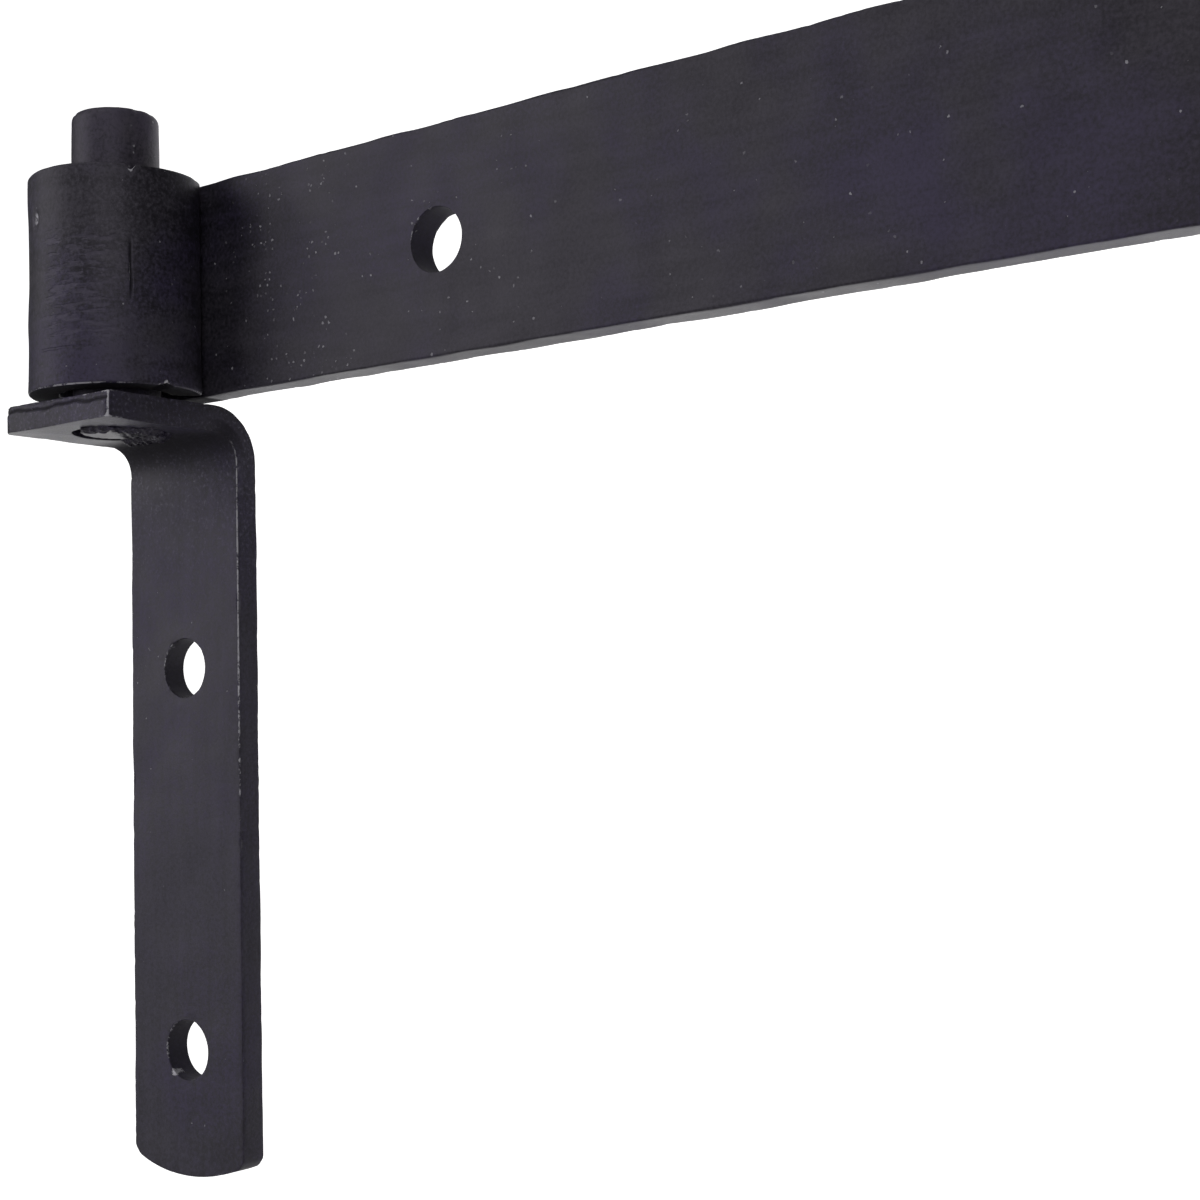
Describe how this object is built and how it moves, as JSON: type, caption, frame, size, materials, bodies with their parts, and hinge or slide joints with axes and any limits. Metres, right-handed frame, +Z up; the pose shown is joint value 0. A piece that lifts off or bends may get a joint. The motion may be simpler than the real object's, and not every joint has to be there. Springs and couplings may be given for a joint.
{
  "type": "band and pintle hinge",
  "caption": "Black forged strap hinge: a long flat band with a rolled eye turns on a round pin welded to an L-shaped wall plate.",
  "frame": {"origin": "on the plate's back face, midway between its two screw holes", "axes": "+X along the closed band away from the pin, +Y into the post, +Z up along the pin"},
  "size_m": [0.416, 0.0365, 0.1972],
  "materials": {
    "band_black": "satin black coating over hot-rolled scale, lightly pitted near the eye",
    "plate_black": "satin black coating, fine grained, chipped along the edges",
    "pin_black": "satin black coating over turned bar",
    "weld_black": "rough weld metal under black coating"
  },
  "bodies": {
    "bracket": {"pintle_plate": "plate_black", "pintle_pin": "pin_black", "pin_weld": "weld_black"},
    "band": {"band_strap": "band_black"}
  },
  "joints": [
    {"name": "band_swing", "type": "hinge", "parent": "bracket", "child": "band", "pos_m": [0, -0.0205, 0.08375], "axis": [0, 0, -1], "range_deg": [0, 180]}
  ]
}
